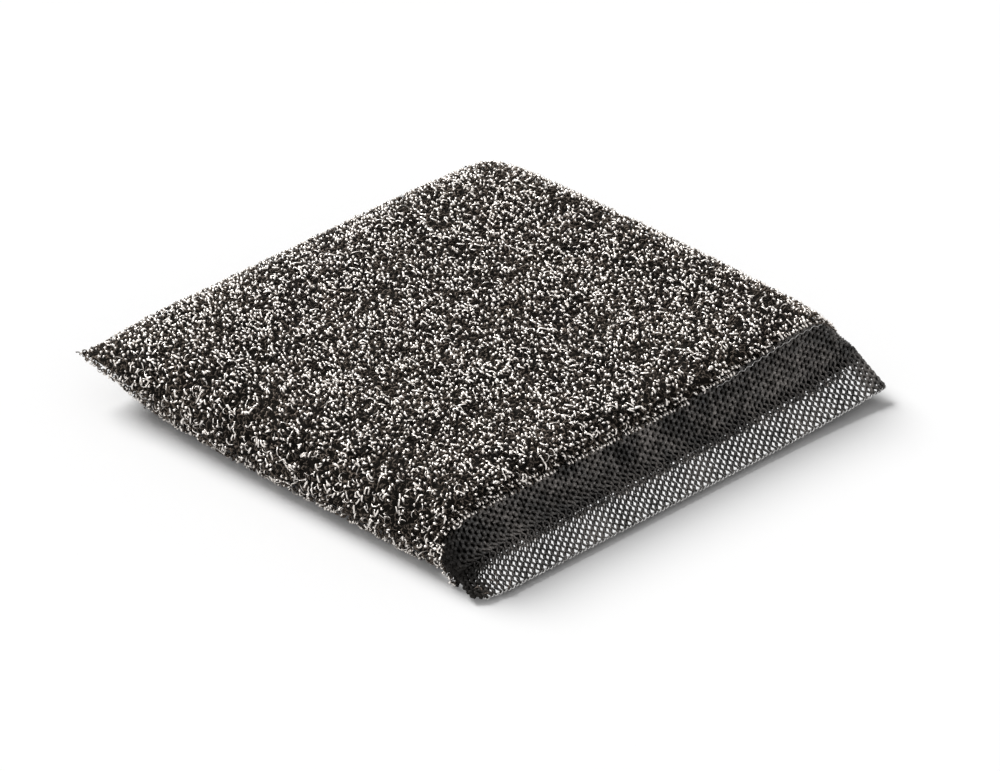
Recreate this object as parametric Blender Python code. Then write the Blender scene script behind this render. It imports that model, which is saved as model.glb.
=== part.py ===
"""Scrub pad: a foam slab inside a knitted tube that has a looped pile and a plain net end.

Metres, +Z up. X runs across the tube and Y along it. The plain net end is at -Y and the turned seam
at +Y. The origin lies under the middle of the pad, on the surface that it rests on.
"""

import math
import random

import bmesh
import bpy
import numpy as np

# Driving sizes of the whole pad
PAD_WIDTH = 0.0996
PAD_THICKNESS = 0.0150
BODY_LENGTH = 0.0929
CORNER_EAR = 0.0003
SIDE_BULGE = 0.0008

# The plain net end: a flap of two net layers, and the steep band that climbs over the slab's end
FLAP_REACH = 0.0064
FLAP_EDGE_HEIGHT = 0.0013
CREASE_HEIGHT = 0.0047
BAND_REACH = 0.0045
BORDER_HEIGHT = 0.0134
BAND_RIB_RISE = 0.0003
FLAP_CORNER_LIFT = 0.0011

# The round of the slab under the pile
SHOULDER_REACH = 0.0062
SIDE_RADIUS = 0.0084
REAR_RADIUS = 0.0150
UNDER_RADIUS = 0.0057
EQUATOR_HEIGHT = 0.0056
SEAM_HEIGHT = 0.0086
SEAM_LEFT_LIFT = 0.0005
SEAM_RIGHT_LIFT = -0.0015
SEAM_RIGHT_PULL = 0.0010
SEAM_LIP = 0.0012
REAR_BOW = 0.0010

# Walls, gaps and clearances
NET_WALL = 0.0006
LAYER_GAP = 0.0003
PILE_WALL = 0.0017
SEAM_ALLOWANCE = 0.0024
EDGE_STRIP = 0.0009
CORE_CLEARANCE = 0.0003

# The pile's nubs
NUB_PITCH_ROUND = 0.0026
NUB_PITCH_ALONG = 0.0031
NUB_RISE = 0.0010
NUB_UNEVENNESS = 0.0003
PRESSED_HEIGHT = 0.0004

# The see-through gaps of the flap
GAP_PITCH = 0.0024
GAP_WIDTH = 0.0013
GAP_LENGTH = 0.0011
GAP_ROWS = 3
GAP_SIDE_MARGIN = 0.0020

# How finely the smooth inner surfaces are cut
INNER_SIDES = 44
INNER_ROWS = 12
SAMPLES = 240

SLEEVE_COLOUR = (0.105, 0.095, 0.087, 1.0)
FOAM_COLOUR = (0.018, 0.018, 0.019, 1.0)

TOTAL_LENGTH = BODY_LENGTH + FLAP_REACH
EDGE_Y = -TOTAL_LENGTH / 2
CREASE_Y = EDGE_Y + FLAP_REACH
BORDER_Y = CREASE_Y + BAND_REACH
SEAM_Y = TOTAL_LENGTH / 2
FLAP_HALF = NET_WALL + LAYER_GAP / 2


def eased(value):
    """A smooth step from 0 to 1."""
    clear = min(max(value, 0.0), 1.0)
    return clear * clear * (3 - 2 * clear)


def rounded(distance, radius):
    """The rise from 0 to 1 of a round edge, at this distance in from its outline."""
    clear = min(max(distance / radius, 0.0), 1.0)
    return math.sqrt(1 - (1 - clear) ** 2)


def half_width(y):
    """Half the tube's width: a little more at both flat ends, where the corners stick out."""
    rear = eased(1 - (SEAM_Y - y) / REAR_RADIUS)
    front = eased(1 - (y - CREASE_Y) / BAND_REACH)
    bulge = SIDE_BULGE * math.cos(math.pi * y / TOTAL_LENGTH)
    return PAD_WIDTH / 2 + CORNER_EAR * max(rear, front) + bulge


def equator(across, y):
    """The height where the top meets the underside, with across from -1 at -X to 1 at +X."""
    lift = FLAP_CORNER_LIFT * max(across, 0.0) ** 3
    flap = FLAP_EDGE_HEIGHT + lift + (CREASE_HEIGHT - FLAP_EDGE_HEIGHT) * (y - EDGE_Y) / FLAP_REACH
    if y <= CREASE_Y:
        return flap
    side_lift = SEAM_LEFT_LIFT if across < 0 else SEAM_RIGHT_LIFT
    seam = SEAM_HEIGHT + side_lift * abs(across) ** 3
    to_body = eased((y - CREASE_Y) / BAND_REACH)
    to_seam = eased(1 - (SEAM_Y - y) / (3 * REAR_RADIUS))
    crease = CREASE_HEIGHT + lift
    body = crease + (EQUATOR_HEIGHT - crease) * to_body
    return body + (seam - body) * to_seam


def crown(y):
    """The top's height along the middle of the pad."""
    if y <= CREASE_Y:
        return equator(0.0, y) + FLAP_HALF
    if y <= BORDER_Y:
        start = CREASE_HEIGHT + FLAP_HALF
        return start + (BORDER_HEIGHT - start) * (y - CREASE_Y) / BAND_REACH
    return BORDER_HEIGHT + (PAD_THICKNESS - BORDER_HEIGHT) * rounded(y - BORDER_Y, SHOULDER_REACH)


def rise_and_drop(y):
    """How far the top lies above the equator and the underside below it, along the middle."""
    rear = rounded(SEAM_Y - y, REAR_RADIUS)
    lip = SEAM_LIP / 2
    middle = equator(0.0, y)
    if y <= CREASE_Y:
        return FLAP_HALF, FLAP_HALF
    under = FLAP_HALF + (middle - FLAP_HALF) * rounded(y - CREASE_Y, BAND_REACH)
    return max((crown(y) - middle) * rear, lip), max(under * rear, lip)


def side_radii(y):
    """The radii of the top's and the underside's side edge. The flap is flat up to its edge."""
    body = eased((y - CREASE_Y) / BAND_REACH)
    top = FLAP_HALF + (SIDE_RADIUS - FLAP_HALF) * body
    under = FLAP_HALF + (UNDER_RADIUS - FLAP_HALF) * body
    return top, under


def evenly(points, count):
    """Points at equal steps along a line of points."""
    line = np.array(points)
    steps = np.linalg.norm(np.diff(line, axis=0), axis=1)
    travelled = np.concatenate([[0.0], np.cumsum(steps)])
    wanted = np.linspace(0.0, travelled[-1], count)
    return np.stack([np.interp(wanted, travelled, line[:, axis]) for axis in range(line.shape[1])], 1)


def ring(y, sides, wall=0.0, shift=0.0):
    """One closed section of the tube at y, from the +X side over the top and back underneath.

    wall shrinks it towards its equator, and shift moves it along Y.
    """
    wide = half_width(y)
    rise, drop = rise_and_drop(y)
    top_radius, under_radius = side_radii(y)
    near_seam = eased(1 - (SEAM_Y - y) / (3 * REAR_RADIUS))
    halves = []
    for span, radius, turn in ((rise, top_radius, 1), (-drop, under_radius, -1)):
        line = []
        for step in range(SAMPLES + 1):
            across = turn * math.cos(math.pi * step / SAMPLES)
            height = span * rounded(wide * (1 - abs(across)), radius)
            height *= (abs(span) - wall) / abs(span)
            x = across * (wide - min(wall, PILE_WALL + CORE_CLEARANCE))
            pulled = REAR_BOW * (1 - across**4) + SEAM_RIGHT_PULL * max(across, 0.0) ** 3
            line.append((x, y + shift - near_seam * pulled, equator(across, y) + height))
        halves.append(evenly(line, sides // 2 + 1)[:-1])
    return np.concatenate(halves)


def loft(rings):
    """A closed surface through the rings, with both ends shut flat between top and underside."""
    mesh = bmesh.new()
    loops = [[mesh.verts.new(point) for point in section] for section in rings]
    sides = len(loops[0])
    for first, second in zip(loops, loops[1:]):
        for k in range(sides):
            mesh.faces.new((first[k], first[k - 1], second[k - 1], second[k]))
    for loop in (loops[0], loops[-1]):
        for k in range(sides // 2):
            corners = (loop[k], loop[k + 1], loop[-k - 1], loop[-k])
            mesh.faces.new(tuple(dict.fromkeys(corners)))
    # Nested surfaces are split along the same diagonals, so that they keep their clearance.
    bmesh.ops.triangulate(mesh, faces=mesh.faces, quad_method="FIXED")
    bmesh.ops.recalc_face_normals(mesh, faces=mesh.faces)
    mesh.normal_update()
    return mesh, loops


def material(name, colour, roughness):
    """A Principled material."""
    made = bpy.data.materials.new(name)
    made.use_nodes = True
    shader = made.node_tree.nodes["Principled BSDF"]
    shader.inputs["Base Color"].default_value = colour
    shader.inputs["Roughness"].default_value = roughness
    shader.inputs["Metallic"].default_value = 0.0
    return made


def add_object(name, mesh, finish):
    """An object of this bmesh in the scene."""
    data = bpy.data.meshes.new(name)
    mesh.to_mesh(data)
    mesh.free()
    made = bpy.data.objects.new(name, data)
    if finish is not None:
        data.materials.append(finish)
    bpy.context.scene.collection.objects.link(made)
    return made


def as_cutter(made):
    """Hides a cutter from renders and shows it as wire."""
    made.hide_render = True
    made.display_type = "WIRE"
    return made


def cut(target, cutter, name):
    """Takes the cutter's shape away from the target."""
    boolean = target.modifiers.new(name, "BOOLEAN")
    boolean.operation = "DIFFERENCE"
    boolean.solver = "EXACT"
    boolean.object = cutter


def pile_stations():
    """Y of each row of nubs, from the border of the plain band to the rear seam, evenly over the arch."""
    line = []
    for step in range(4 * SAMPLES + 1):
        y = BORDER_Y + (SEAM_Y - BORDER_Y) * math.sin(math.pi / 2 * step / (4 * SAMPLES))
        line.append((y, equator(0.0, y) + rise_and_drop(y)[0]))
    path = np.array(line)
    length = np.linalg.norm(np.diff(path, axis=0), axis=1).sum()
    rows = max(2, round(length / NUB_PITCH_ALONG))
    return list(evenly(path, rows + 1)[:, 0])


def net_stations():
    """Y of each row of the plain end: the flap, the crease and the band up to the pile."""
    flap = [EDGE_Y, EDGE_Y + FLAP_REACH / 2]
    band = [CREASE_Y, CREASE_Y + BAND_REACH / 3, CREASE_Y + BAND_REACH * 2 / 3]
    return flap + band


def raise_surface(loops, net_rows):
    """Gives the band its ribs and the pile its nubs. What lies on the table is pressed flat."""
    uneven = random.Random(11)
    for row, loop in enumerate(loops):
        y = loop[0].co.y
        for k, corner in enumerate(loop):
            if row < net_rows:
                on_band = y > CREASE_Y - NET_WALL and k % 2 == 0
                corner.co += corner.normal * (BAND_RIB_RISE if on_band else 0.0)
                corner.co.z = max(corner.co.z, 0.0)
                continue
            if corner.co.z < PRESSED_HEIGHT:
                corner.co.z = 0.0
                continue
            side = 0.5 if (row + k) % 2 == 0 else -0.5
            corner.co += corner.normal * (NUB_RISE * side + NUB_UNEVENNESS * uneven.uniform(-0.5, 0.5))
            corner.co.z = max(corner.co.z, 0.0)


def inner_stations(first, last):
    """Y of the smooth inner surfaces' rows, closer together at both ends."""
    middle = (first + last) / 2
    half = (last - first) / 2
    return [middle - half * math.cos(math.pi * row / INNER_ROWS) for row in range(INNER_ROWS + 1)]


def inner_shift(y):
    """How far an inner row moves in along Y from the outer row that it follows."""
    rear = eased(1 - (SEAM_Y - y) / REAR_RADIUS)
    front = eased(1 - (y - CREASE_Y) / BAND_REACH)
    return NET_WALL * front - SEAM_ALLOWANCE * rear


def inner_wall(y):
    """The wall's thickness: net at the plain end, pile and its ground beyond it."""
    return NET_WALL + (PILE_WALL - NET_WALL) * eased((y - CREASE_Y) / BAND_REACH)


def deepest_rear():
    """Y of the last outer row whose inside still has room for the slab."""
    y = SEAM_Y
    while min(rise_and_drop(y)) < PILE_WALL + 3 * CORE_CLEARANCE:
        y -= CORE_CLEARANCE / 2
    return y


def make_cavity():
    """The room inside the tube, which runs on between the flap's two layers."""
    slit = [EDGE_Y + EDGE_STRIP, CREASE_Y]
    rows = slit + inner_stations(CREASE_Y, deepest_rear())[1:]
    rings = [ring(y, INNER_SIDES, inner_wall(y), inner_shift(y) if y > CREASE_Y else 0.0) for y in rows]
    mesh, _ = loft(rings)
    return as_cutter(add_object("cavity_cutter", mesh, None))


def make_gap_cutters():
    """Upright bars that open the flap's gaps through both layers, in rows that are offset by half."""
    mesh = bmesh.new()
    usable = PAD_WIDTH - 2 * GAP_SIDE_MARGIN
    count = int(usable / GAP_PITCH)
    room = FLAP_REACH - EDGE_STRIP
    tall = 2 * (CREASE_HEIGHT + FLAP_CORNER_LIFT + FLAP_HALF)
    for row in range(GAP_ROWS):
        y = EDGE_Y + EDGE_STRIP + room * (row + 0.5) / GAP_ROWS
        in_row = count - row % 2
        for column in range(in_row):
            x = GAP_PITCH * (column - (in_row - 1) / 2)
            box = bmesh.ops.create_cube(mesh, size=1.0)["verts"]
            bmesh.ops.scale(mesh, vec=(GAP_WIDTH, GAP_LENGTH, tall), verts=box)
            bmesh.ops.translate(mesh, vec=(x, y, 0.0), verts=box)
    return as_cutter(add_object("gap_cutters", mesh, None))


def make_sleeve():
    """The knitted tube: pile over the slab, net band and two-layer flap at -Y, turned seam at +Y."""
    net_rows = net_stations()
    rows = net_rows + pile_stations()
    around = 2 * (PAD_WIDTH + PAD_THICKNESS)
    sides = 4 * round(around / NUB_PITCH_ROUND / 4)
    mesh, loops = loft([ring(y, sides) for y in rows])
    raise_surface(loops, len(net_rows))
    sleeve = add_object("knit_sleeve", mesh, material("knit_charcoal", SLEEVE_COLOUR, 0.85))
    cut(sleeve, make_cavity(), "room_for_slab")
    cut(sleeve, make_gap_cutters(), "net_gaps")
    return sleeve


def make_core():
    """The foam slab, which fills the room inside the tube and ends at the flap's crease."""
    rings = []
    for y in inner_stations(CREASE_Y, deepest_rear()):
        wall = inner_wall(y) + CORE_CLEARANCE
        if min(rise_and_drop(y)) < wall + CORE_CLEARANCE:
            continue
        ends = eased(1 - (SEAM_Y - y) / REAR_RADIUS) - eased(1 - (y - CREASE_Y) / BAND_REACH)
        rings.append(ring(y, INNER_SIDES, wall, inner_shift(y) - CORE_CLEARANCE * ends))
    mesh, _ = loft(rings)
    core = add_object("foam_core", mesh, material("foam_black", FOAM_COLOUR, 0.95))
    core.data.shade_smooth()
    return core


def main():
    for old in list(bpy.data.objects):
        bpy.data.objects.remove(old, do_unlink=True)
    make_sleeve()
    make_core()


main()
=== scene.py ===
"""A scrub pad on a pale floor: a foam slab in a knitted tube with looped pile and a plain net end.

Lengths are metres, +Z is up, X runs across the knitted tube and Y along it. The net end is at -Y.
"""

import logging
import math
from dataclasses import dataclass, field
from enum import Enum

import bmesh
import bpy
import numpy as np
from mathutils import Matrix, Vector, noise


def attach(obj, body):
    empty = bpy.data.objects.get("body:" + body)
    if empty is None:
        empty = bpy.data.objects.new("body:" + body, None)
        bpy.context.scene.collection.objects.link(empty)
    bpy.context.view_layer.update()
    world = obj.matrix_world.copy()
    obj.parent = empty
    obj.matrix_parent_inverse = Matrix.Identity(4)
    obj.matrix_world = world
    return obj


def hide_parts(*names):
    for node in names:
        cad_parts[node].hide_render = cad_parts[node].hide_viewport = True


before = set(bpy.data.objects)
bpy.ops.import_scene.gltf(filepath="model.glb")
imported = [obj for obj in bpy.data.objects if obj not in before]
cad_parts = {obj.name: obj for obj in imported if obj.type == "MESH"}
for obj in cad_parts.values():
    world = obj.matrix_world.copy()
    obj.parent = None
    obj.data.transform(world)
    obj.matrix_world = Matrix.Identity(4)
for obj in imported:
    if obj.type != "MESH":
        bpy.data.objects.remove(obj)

log = logging.getLogger("scrub_pad")
PHOTO_WIDE = 1000
PHOTO_TALL = 771
CREST_AND_PAINTED_LIGHT = "crest"
FIBRE_SHARE = 0.55
PATCH_SHARE = 0.45
NET_COLUMNS = 1600
FLOOR_CLEARANCE = 0.00002
LEAST_FACING = 0.2
DRIFT_BEAT = 0.37
SEED_SPREAD = 1e6
TINY = 1e-12

Array = np.ndarray
Colour = tuple[float, float, float, float]
Socket = bpy.types.NodeSocket
Fed = Socket | float | Colour
Range = tuple[Fed, Fed]


class Side(Enum):
    """Which face of the knitted tube a yarn lies on."""

    TOP = 1
    UNDER = -1


def eased(value: Array | float) -> Array | float:
    """Return a smooth step from 0 to 1."""
    clear = np.clip(value, 0.0, 1.0)
    return clear * clear * (3 - 2 * clear)


def rounded(distance: Array | float, radius: float) -> Array | float:
    """Return the rise from 0 to 1 of a round edge, this far in from its outline."""
    clear = np.clip(distance / radius, 0.0, 1.0)
    return np.sqrt(1 - (1 - clear) ** 2)


def unit(directions: Array) -> Array:
    """Return directions at length 1."""
    return directions / np.linalg.norm(directions, axis=-1, keepdims=True)


def square_to(directions: Array, axes: Array) -> Array:
    """Return what is left of directions without their part along unit axes."""
    return directions - axes * (directions * axes).sum(-1, keepdims=True)


def evenly(line: Array, count: int) -> Array:
    """Walk a line of points at equal steps.

    Args:
        line: The points, one per row.
        count: How many points to return, both ends included.

    Returns:
        The new points.
    """
    steps = np.linalg.norm(np.diff(line, axis=0), axis=1)
    travelled = np.concatenate([[0.0], np.cumsum(steps)])
    wanted = np.linspace(0.0, travelled[-1], count)
    return np.stack([np.interp(wanted, travelled, values) for values in line.T], axis=1)


@dataclass(frozen=True)
class PadForm:
    """The outer form of the pad: a tube round a slab, flat at its net end and shut at its seam."""

    width: float = 0.0996
    thickness: float = 0.0150
    body_length: float = 0.0929
    corner_ear: float = 0.0003
    left_bulge: float = 0.0001
    right_bulge: float = 0.0013
    flap_reach: float = 0.0064
    flap_edge_height: float = 0.00095
    flap_bow: float = 0.0009
    flap_bow_start: float = 0.15
    crease_height: float = 0.0047
    band_reach: float = 0.0045
    border_height: float = 0.0134
    flap_corner_lift: float = 0.0014
    shoulder_reach: float = 0.0062
    side_radius: float = 0.0084
    rear_radius: float = 0.0150
    left_corner_taper: float = 0.0160
    left_corner_sharpness: int = 8
    least_rise: float = 1e-6
    left_side_spread: float = 0.0110
    left_side_length: float = 0.0220
    under_radius: float = 0.0057
    equator_height: float = 0.0056
    seam_height: float = 0.0086
    seam_left_lift: float = 0.0005
    seam_right_lift: float = -0.0009
    seam_right_pull: float = 0.0004
    seam_lip: float = 0.0012
    flap_half: float = 0.00050
    crease_sink: float = 0.0024
    edge_sink: float = 0.0002
    sink_sharpness: int = 7
    left_tuck: float = 0.0009
    left_tuck_length: float = 0.0032
    left_flare: float = 0.0006
    left_ear: float = 0.0010
    left_ear_length: float = 0.0070
    left_ear_sharpness: int = 12
    floor_gap: float = 0.0003
    sag_right: float = 0.0002
    sag_left: float = 0.0014
    sag_from: float = 0.0050
    sag_over: float = 0.0400
    low_pile_y: float = -0.0429
    low_pile_height: float = 0.0034
    low_pile_fade: float = 0.7
    samples: int = 240

    @property
    def edge_y(self) -> float:
        """Y of the flap's outer edge."""
        return -(self.body_length + self.flap_reach) / 2

    @property
    def crease_y(self) -> float:
        """Y of the crease between the flap and the slab's end."""
        return self.edge_y + self.flap_reach

    @property
    def border_y(self) -> float:
        """Y where the plain net meets the pile."""
        return self.crease_y + self.band_reach

    @property
    def seam_y(self) -> float:
        """Y of the turned rear seam."""
        return (self.body_length + self.flap_reach) / 2

    def near_crease(self, y: float) -> float:
        """Return 1 on the flap, falling to 0 at the pile's border."""
        return float(eased(1 - (y - self.crease_y) / self.band_reach))

    def on_flap(self, y: float) -> float:
        """Return 0 up to the crease, rising to 1 at the flap's edge."""
        return min(max((self.crease_y - y) / self.flap_reach, 0.0), 1.0)

    def near_seam(self, y: float, reach: float) -> float:
        """Return 1 at the rear seam, falling to 0 this far from it."""
        return float(eased(1 - (self.seam_y - y) / reach))

    def half_width(self, y: float) -> float:
        """Return half the tube's width at y."""
        ends = max(self.near_seam(y, self.rear_radius), self.near_crease(y))
        return self.width / 2 + self.corner_ear * ends

    def bulge(self, across: Array, y: float) -> Array:
        """Return how far each place over the width is pushed along X by the unequal bulge."""
        belly = math.cos(math.pi * y / (2 * self.seam_y))
        tuck = self.left_tuck * float(eased(1 - abs(y - self.crease_y) / self.left_tuck_length))
        tuck -= self.left_flare * self.on_flap(y)
        left, right = np.maximum(-across, 0.0), np.maximum(across, 0.0)
        return belly * (self.right_bulge * right - self.left_bulge * left) + tuck * left**4

    def equator(self, across: Array | float, y: float) -> Array | float:
        """Return the height where top and underside meet.

        Args:
            across: Place over the width, from -1 at -X to 1 at +X.
            y: Place along the tube.

        Returns:
            The height, one for each place over the width.
        """
        lift = self.flap_corner_lift * np.maximum(across, 0.0) ** 3
        sunk = np.maximum(-np.asarray(across), 0.0) ** self.sink_sharpness
        edge = self.flap_edge_height + lift - self.edge_sink * sunk
        crease = self.crease_height + lift - self.crease_sink * sunk
        if y <= self.crease_y:
            return edge + (crease - edge) * (y - self.edge_y) / self.flap_reach
        side_lift = np.where(np.asarray(across) < 0, self.seam_left_lift, self.seam_right_lift)
        seam = self.seam_height + side_lift * np.abs(across) ** 3
        body = crease + (self.equator_height - crease) * (1 - self.near_crease(y))
        return body + (seam - body) * self.near_seam(y, 3 * self.rear_radius)

    def crown(self, y: float) -> float:
        """Return the top's height along the middle of the pad."""
        if y <= self.crease_y:
            return float(self.equator(0.0, y)) + self.flap_half
        if y <= self.border_y:
            start = self.crease_height + self.flap_half
            return start + (self.border_height - start) * (y - self.crease_y) / self.band_reach
        shoulder = float(rounded(y - self.border_y, self.shoulder_reach))
        return self.border_height + (self.thickness - self.border_height) * shoulder

    def rise_and_drop(self, y: float) -> tuple[float, float]:
        """Return how far the top lies above the equator, and the underside below it."""
        if y <= self.crease_y:
            return self.flap_half, self.flap_half
        rear = float(rounded(self.seam_y - y, self.rear_radius))
        middle = float(self.equator(0.0, y))
        belly = float(rounded(y - self.crease_y, self.band_reach))
        under = self.flap_half + (middle - self.flap_half) * belly
        lip = self.seam_lip / 2
        return max((self.crown(y) - middle) * rear, lip), max(under * rear, lip)

    def corner_slimness(self, across: Array, y: float) -> Array:
        """Return how much thinner the tube is towards its drawn-out rear corner at -X."""
        left = np.maximum(-across, 0.0) ** self.left_corner_sharpness
        from_seam = self.seam_y - y
        drawn_out = rounded(from_seam, self.rear_radius + self.left_corner_taper * left)
        return drawn_out / max(float(rounded(from_seam, self.rear_radius)), self.least_rise)

    def pile_end(self, points: Array) -> Array:
        """Return Y where the pile ends at the X and Z of each point.

        On the band it sags towards -X. Low on the sides and underneath it runs on to the crease.
        """
        sagging = 1 - eased((points[..., 0] - self.sag_from) / self.sag_over)
        on_band = self.border_y - self.sag_right - (self.sag_left - self.sag_right) * sagging
        fade = self.low_pile_fade * self.low_pile_height
        low = eased((self.low_pile_height - points[..., 2]) / fade)
        return on_band + (self.low_pile_y - on_band) * low

    def ring(self, y: float, count: int) -> Array:
        """Return one closed section of the tube, from the +X side over the top and back.

        Args:
            y: Where along the tube the section is.
            count: How many points it has, at equal steps round it.

        Returns:
            The points, one per row.
        """
        wide = self.half_width(y)
        rise, drop = self.rise_and_drop(y)
        body = 1 - self.near_crease(y)
        near_seam = self.near_seam(y, 3 * self.rear_radius)
        flap = self.on_flap(y)
        eared = self.left_ear * self.near_seam(y, self.left_ear_length)
        spread = self.left_side_spread * self.near_seam(y, self.left_side_length)
        halves = []
        for side, span, full_radius in (
            (Side.TOP, rise, self.side_radius),
            (Side.UNDER, -drop, self.under_radius),
        ):
            radius = self.flap_half + (full_radius - self.flap_half) * body
            across = side.value * np.cos(np.linspace(0, math.pi, self.samples + 1))
            if side is Side.TOP:
                radius = radius + spread * (across < 0)
            edge = rounded(wide * (1 - np.abs(across)), radius)
            height = span * self.corner_slimness(across, y) * edge
            pulled = self.seam_right_pull * np.maximum(across, 0) ** 3
            bowed = self.flap_bow * flap * eased((across + 1) / self.flap_bow_start)
            ear = eared * np.maximum(-across, 0) ** self.left_ear_sharpness
            level = np.maximum(self.equator(across, y) + height, self.floor_gap)
            aside = across * wide + self.bulge(across, y) - ear
            line = np.stack([aside, y - near_seam * pulled - bowed + ear, level], axis=1)
            halves.append(line)
        outline = np.concatenate([halves[0], halves[1][1:]])
        return evenly(outline, count + 1)[:-1]

    def stations(self, first: float, last: float, pitch: float) -> Array:
        """Return Y of rows at equal steps over the arch of the top, from first to last."""
        bend = np.sin(np.linspace(0, math.pi / 2, 4 * self.samples))
        line = [
            (y, float(self.equator(0.0, y)) + self.rise_and_drop(y)[0])
            for y in first + (last - first) * bend
        ]
        path = np.array(line)
        length = np.linalg.norm(np.diff(path, axis=0), axis=1).sum()
        return evenly(path, max(2, round(length / pitch)) + 1)[:, 0]


@dataclass
class Skin:
    """Points and outward normals on the pad's form, in rows along it and columns round it."""

    points: Array
    normals: Array

    @classmethod
    def over(cls, form: PadForm, rows: Array, count: int) -> "Skin":
        """Lay a grid over the form.

        Args:
            form: The pad's form.
            rows: Y of each row.
            count: How many columns there are round the tube.

        Returns:
            The grid.
        """
        points = np.array([form.ring(float(y), count) for y in rows])
        round_it = np.roll(points, -1, axis=1) - np.roll(points, 1, axis=1)
        along = np.gradient(points, axis=0)
        normals = np.cross(along, round_it)
        normals /= np.maximum(np.linalg.norm(normals, axis=2, keepdims=True), TINY)
        return cls(points, normals)

    def at(self, row: Array, column: Array) -> tuple[Array, Array]:
        """Read the grid between its points.

        Args:
            row: Row numbers, which may have fractions.
            column: Column numbers, which may have fractions and wrap round.

        Returns:
            The points and the normals there.
        """
        rows, columns = self.points.shape[:2]
        low_row = np.clip(np.floor(row).astype(int), 0, rows - 2)
        part_row = np.clip(row - low_row, 0.0, 1.0)[..., None]
        low_column = np.floor(column).astype(int)
        part_column = (column - low_column)[..., None]
        left, right = low_column % columns, (low_column + 1) % columns
        found = []
        for grid in (self.points, self.normals):
            near, far = (
                grid[low, left] * (1 - part_column) + grid[low, right] * part_column
                for low in (low_row, low_row + 1)
            )
            found.append(near * (1 - part_row) + far * part_row)
        points, normals = found
        return points, normals / np.maximum(np.linalg.norm(normals, axis=-1, keepdims=True), TINY)


@dataclass
class Wiring:
    """Adds nodes to a shader's tree, each fed with values or with other nodes' outputs."""

    tree: bpy.types.NodeTree

    def feed(self, node: bpy.types.Node, inputs: dict[str | int, Fed]) -> None:
        """Set or link a node's inputs."""
        for name, value in inputs.items():
            if isinstance(value, bpy.types.NodeSocket):
                self.tree.links.new(value, node.inputs[name])
            else:
                node.inputs[name].default_value = value

    def add(self, kind: str, inputs: dict[str | int, Fed], output: str | int = 0) -> Socket:
        """Add a node and return one of its outputs."""
        node = self.tree.nodes.new(f"ShaderNode{kind}")
        self.feed(node, inputs)
        return node.outputs[output]

    def math(self, operation: str, *values: Fed) -> Socket:
        """Add a piece of arithmetic."""
        result = self.add("Math", dict(enumerate(values)))
        result.node.operation = operation
        return result

    def ranged(self, value: Fed, source: Range = (0.0, 1.0), target: Range = (0.0, 1.0)) -> Socket:
        """Carry a value from one range over to another."""
        ends = dict(zip(("From Min", "From Max", "To Min", "To Max"), (*source, *target)))
        return self.add("MapRange", {"Value": value, **ends}, "Result")

    def ramp(self, value: Fed, levels: Range, colours: tuple[Colour, Colour]) -> Socket:
        """Blend from one colour to another between two levels of a value."""
        blend = self.add("ValToRGB", {"Fac": value}, "Color")
        for end, level, colour in zip(blend.node.color_ramp.elements, levels, colours):
            end.position = level
            end.color = colour
        return blend

    def mix(self, share: Fed, first: Fed, second: Fed) -> Socket:
        """Mix two colours."""
        node = self.tree.nodes.new("ShaderNodeMix")
        node.data_type = "RGBA"
        self.feed(node, {"Factor": share, "A": first, "B": second})
        return node.outputs["Result"]

    def bump(self, height: Fed, strength: float, depth: float) -> Socket:
        """Turn a height into a normal."""
        given = {"Height": height, "Strength": strength, "Distance": depth}
        return self.add("Bump", given, "Normal")

    def place(self) -> Socket:
        """Read the place on the object."""
        return self.add("TexCoord", {}, "Object")

    def crest(self) -> Socket:
        """Read the crest attribute: for a loop how near its top a point lies, for the net its
        painted light and shade.
        """
        node = self.tree.nodes.new("ShaderNodeAttribute")
        node.attribute_name = CREST_AND_PAINTED_LIGHT
        return node.outputs["Fac"]

    def fibres(self, fibre_scale: float, patch_scale: float) -> tuple[Socket, Socket]:
        """Add the fine fibre pattern and return its shade and its height."""
        node = self.tree.nodes.new("ShaderNodeGroup")
        node.node_tree = fibre_group()
        self.feed(node, {"Fibre Scale": fibre_scale, "Patch Scale": patch_scale})
        return node.outputs["Shade"], node.outputs["Height"]


def fibre_group() -> bpy.types.NodeTree:
    """Build the fine fibre pattern that every yarn shares.

    Returns:
        A node group with a light-and-dark Shade and a Height for a bump.
    """
    name = "yarn_fibres"
    if name in bpy.data.node_groups:
        return bpy.data.node_groups[name]
    group = bpy.data.node_groups.new(name, "ShaderNodeTree")
    sockets = {"INPUT": ("Fibre Scale", "Patch Scale"), "OUTPUT": ("Shade", "Height")}
    for direction, labels in sockets.items():
        for label in labels:
            group.interface.new_socket(label, in_out=direction, socket_type="NodeSocketFloat")
    wires = Wiring(group)
    given = group.nodes.new("NodeGroupInput").outputs
    place = wires.place()
    fine, patch = (
        wires.add("TexNoise", {"Vector": place, "Scale": given[label], "Detail": detail}, "Fac")
        for label, detail in (("Fibre Scale", 3.0), ("Patch Scale", 4.0))
    )
    patch_part = wires.math("MULTIPLY", patch, PATCH_SHARE)
    shade = wires.math("MULTIPLY_ADD", fine, FIBRE_SHARE, patch_part)
    wires.feed(group.nodes.new("NodeGroupOutput"), {"Shade": shade, "Height": fine})
    return group


@dataclass(frozen=True)
class Finish:
    """A named material, made on its first use."""

    name: str

    def build(self) -> bpy.types.Material:
        """Return the material."""
        if self.name in bpy.data.materials:
            return bpy.data.materials[self.name]
        made = bpy.data.materials.new(self.name)
        made.use_nodes = True
        wires = Wiring(made.node_tree)
        wires.feed(made.node_tree.nodes["Principled BSDF"], self.wire(wires))
        return made

    def wire(self, wires: Wiring) -> dict[str, Fed]:
        """Return what goes into the material's shader."""
        raise NotImplementedError


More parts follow.
